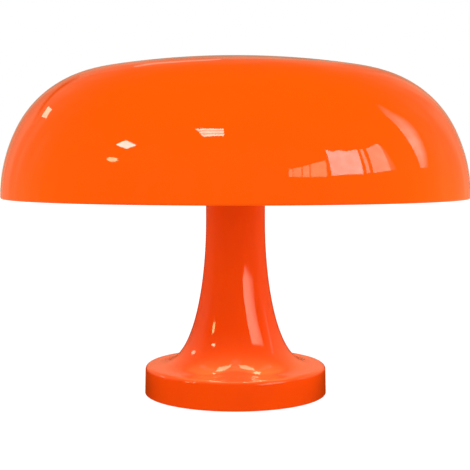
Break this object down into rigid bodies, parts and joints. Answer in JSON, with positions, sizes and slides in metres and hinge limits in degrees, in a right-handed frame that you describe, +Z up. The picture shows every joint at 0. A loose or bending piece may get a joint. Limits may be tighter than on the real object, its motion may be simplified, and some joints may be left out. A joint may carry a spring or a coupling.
{
  "type": "table lamp",
  "caption": "Mushroom-shaped table lamp: a moulded orange dome that lifts off a trumpet-shaped stand with a round base, over crosswise screw-in bulbs.",
  "frame": {"origin": "on the table plane, under the middle of the base", "axes": "+Z up the stem, -Y towards the viewer of the picture, the cord entry at +Y"},
  "size_m": [0.32, 0.32, 0.2327],
  "materials": {
    "shade_plastic": "bright orange moulded plastic, high gloss",
    "stand_plastic": "deeper orange moulded plastic, high gloss",
    "cast_iron": "as cast, blackened",
    "cover_steel": "black powder coat",
    "foot_rubber": "closed-cell foam, matt black",
    "grommet_rubber": "moulded black rubber",
    "hub_steel": "white enamel, semi-gloss",
    "zinc_steel": "bright zinc plate",
    "brass": "turned brass",
    "bush_plastic": "white nylon",
    "holder_plastic": "white heat-resistant plastic",
    "insulator_plastic": "ivory ceramic-filled plastic",
    "live_lead": "brown silicone insulation",
    "neutral_lead": "blue silicone insulation",
    "bulb_opal": "opal diffuser, satin",
    "bulb_housing": "white plastic",
    "bulb_board": "white solder mask on aluminium",
    "bulb_cap": "nickel plate",
    "bulb_insulator": "black vitreous insulator"
  },
  "bodies": {
    "stand": {"body_shell": "stand_plastic", "ballast": "cast_iron", "bottom_cover": "cover_steel", "cover_screws": "zinc_steel", "foot_ring": "foot_rubber", "cord_grommet": "grommet_rubber", "centre_rod": "zinc_steel", "lower_washer": "zinc_steel", "lower_nut": "brass", "upper_washer": "zinc_steel", "upper_nut": "brass", "hub_housing": "hub_steel", "hub_cover": "hub_steel", "hub_cover_screws": "zinc_steel", "shade_post": "zinc_steel", "post_nut": "brass", "terminal_block": "holder_plastic", "live_ring": "brass", "neutral_ring": "brass", "live_leads": "live_lead", "neutral_leads": "neutral_lead", "holder_nipples": "brass", "holder_locknuts": "brass", "holder_caps": "holder_plastic", "lampholder_1": "holder_plastic", "lampholder_2": "holder_plastic", "lampholder_3": "holder_plastic", "lampholder_4": "holder_plastic", "screw_shells": "brass", "contact_insulators": "insulator_plastic", "centre_contacts": "brass"},
    "shade": {"shade": "shade_plastic", "socket_bush": "bush_plastic"},
    "bulb_1": {"bulb_1_globe": "bulb_opal", "bulb_1_housing": "bulb_housing", "bulb_1_board": "bulb_board", "bulb_1_cap": "bulb_cap", "bulb_1_insulator": "bulb_insulator", "bulb_1_tip": "bulb_cap"},
    "bulb_2": {"bulb_2_globe": "bulb_opal", "bulb_2_housing": "bulb_housing", "bulb_2_board": "bulb_board", "bulb_2_cap": "bulb_cap", "bulb_2_insulator": "bulb_insulator", "bulb_2_tip": "bulb_cap"},
    "bulb_3": {"bulb_3_globe": "bulb_opal", "bulb_3_housing": "bulb_housing", "bulb_3_board": "bulb_board", "bulb_3_cap": "bulb_cap", "bulb_3_insulator": "bulb_insulator", "bulb_3_tip": "bulb_cap"},
    "bulb_4": {"bulb_4_globe": "bulb_opal", "bulb_4_housing": "bulb_housing", "bulb_4_board": "bulb_board", "bulb_4_cap": "bulb_cap", "bulb_4_insulator": "bulb_insulator", "bulb_4_tip": "bulb_cap"}
  },
  "joints": [
    {"name": "shade_lift", "type": "slide", "parent": "stand", "child": "shade", "axis": [0, 0, 1], "range_m": [0, 0.1]},
    {"name": "bulb_1_out", "type": "slide", "parent": "stand", "child": "bulb_1", "axis": [1, 0, 0], "range_m": [0, 0.02]},
    {"name": "bulb_2_out", "type": "slide", "parent": "stand", "child": "bulb_2", "axis": [0, 1, 0], "range_m": [0, 0.02]},
    {"name": "bulb_3_out", "type": "slide", "parent": "stand", "child": "bulb_3", "axis": [-1, 0, 0], "range_m": [0, 0.02]},
    {"name": "bulb_4_out", "type": "slide", "parent": "stand", "child": "bulb_4", "axis": [0, -1, 0], "range_m": [0, 0.02]}
  ]
}
